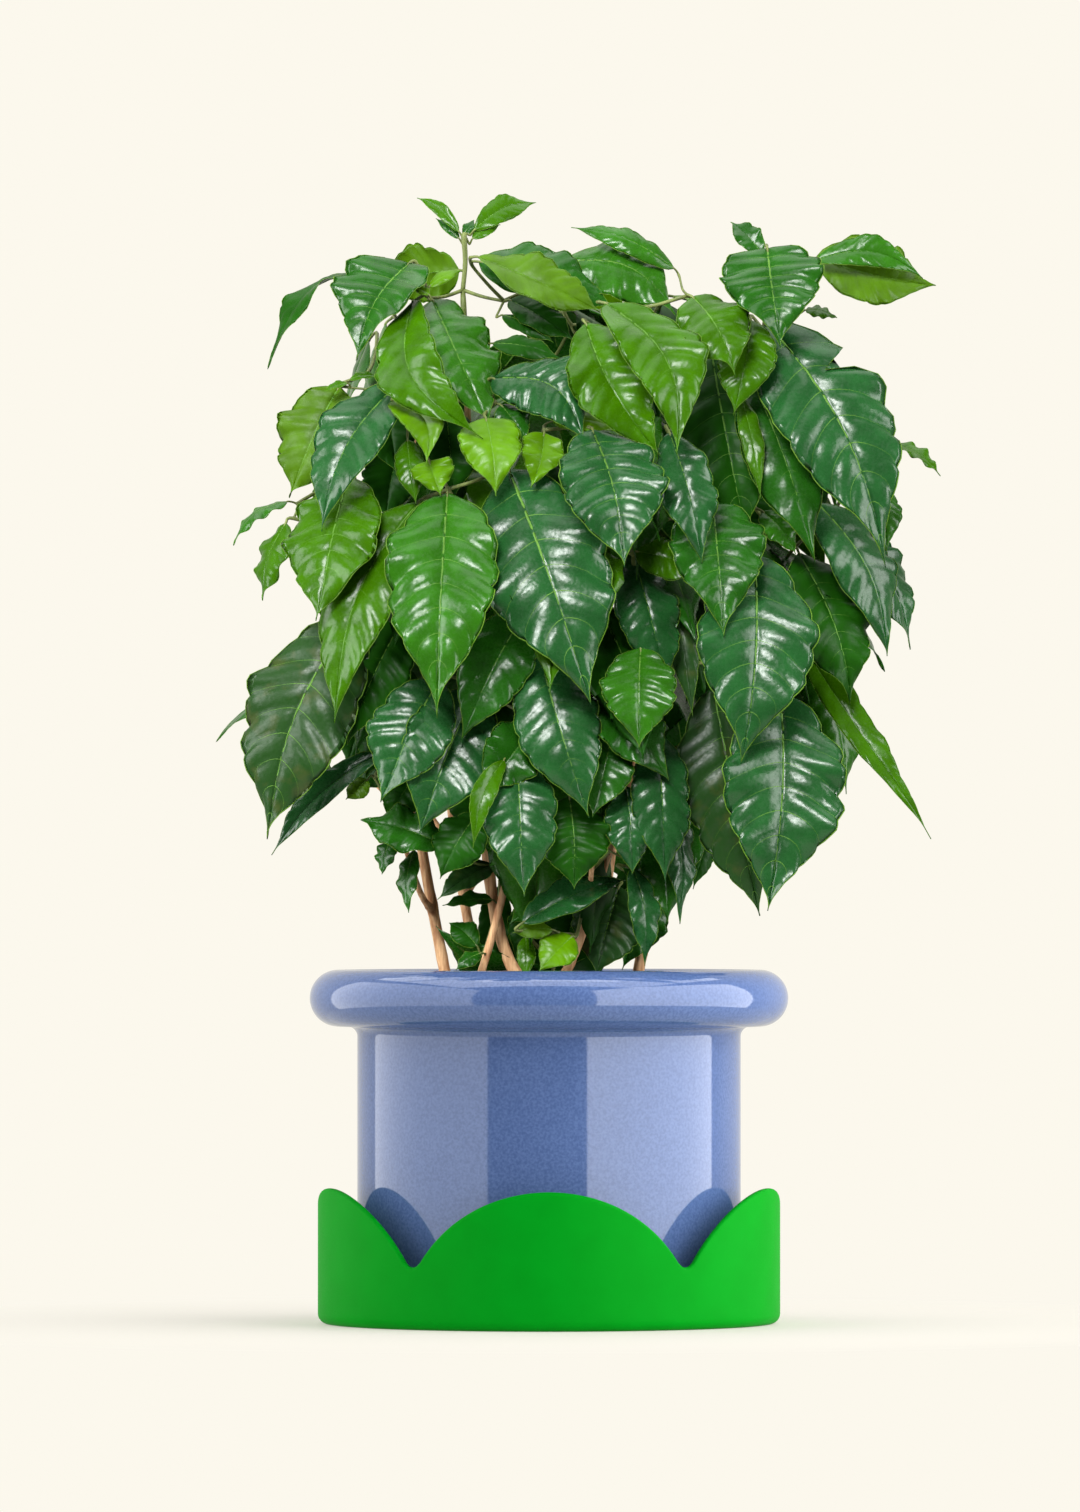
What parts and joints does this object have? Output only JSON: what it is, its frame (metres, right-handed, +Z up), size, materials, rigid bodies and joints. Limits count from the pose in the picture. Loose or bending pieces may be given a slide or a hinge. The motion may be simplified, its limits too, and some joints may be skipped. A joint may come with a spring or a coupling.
{
  "type": "potted coffee plant",
  "caption": "Bushy coffee plant with glossy drooping leaves in a round rolled-rim pot that stands in a scalloped saucer.",
  "frame": {"origin": "centre of the flat underside of the saucer", "axes": "+Z up along the pot's axis, -Y towards the front of the plant, +X to the right as seen from the front"},
  "size_m": [0.436, 0.3421, 0.672],
  "materials": {
    "saucer_green": "satin bright green coating",
    "pot_glaze": "glossy mottled lavender-blue glaze",
    "soil": "matt, crumbly",
    "bark": "brown, finely ridged",
    "leaf_green": "glossy leaf green"
  },
  "bodies": {
    "root": {"saucer": "saucer_green", "pot": "pot_glaze", "soil": "soil", "stem_left": "bark", "stem_crossing": "bark", "stem_front_left": "bark", "stem_middle": "bark", "stem_right_lean": "bark", "stem_right": "bark", "stem_back_left": "bark", "stem_back_right": "bark", "bough_left_crest": "bark", "bough_left_front": "bark", "bough_left_side": "bark", "bough_left_skirt": "bark", "bough_centre_left": "bark", "bough_centre_low": "bark", "bough_centre_right": "bark", "bough_front_skirt": "bark", "bough_right_crest": "bark", "bough_right_front": "bark", "bough_right_side": "bark", "bough_right_skirt": "bark", "bough_back_crest": "bark", "bough_back_left_low": "bark", "bough_back_low": "bark", "bough_back_middle": "bark", "bough_back_right_low": "bark", "leaves_left_top": "leaf_green", "leaves_crossing_top": "leaf_green", "leaves_front_left_top": "leaf_green", "leaves_middle_top": "leaf_green", "leaves_right_lean_top": "leaf_green", "leaves_right_top": "leaf_green", "leaves_back_left_top": "leaf_green", "leaves_back_right_top": "leaf_green", "leaves_left_crest": "leaf_green", "leaves_left_front": "leaf_green", "leaves_left_side": "leaf_green", "leaves_left_skirt": "leaf_green", "leaves_centre_left": "leaf_green", "leaves_centre_low": "leaf_green", "leaves_centre_right": "leaf_green", "leaves_front_skirt": "leaf_green", "leaves_right_crest": "leaf_green", "leaves_right_front": "leaf_green", "leaves_right_side": "leaf_green", "leaves_right_skirt": "leaf_green", "leaves_back_crest": "leaf_green", "leaves_back_left_low": "leaf_green", "leaves_back_low": "leaf_green", "leaves_back_middle": "leaf_green", "leaves_back_right_low": "leaf_green"}
  },
  "joints": []
}
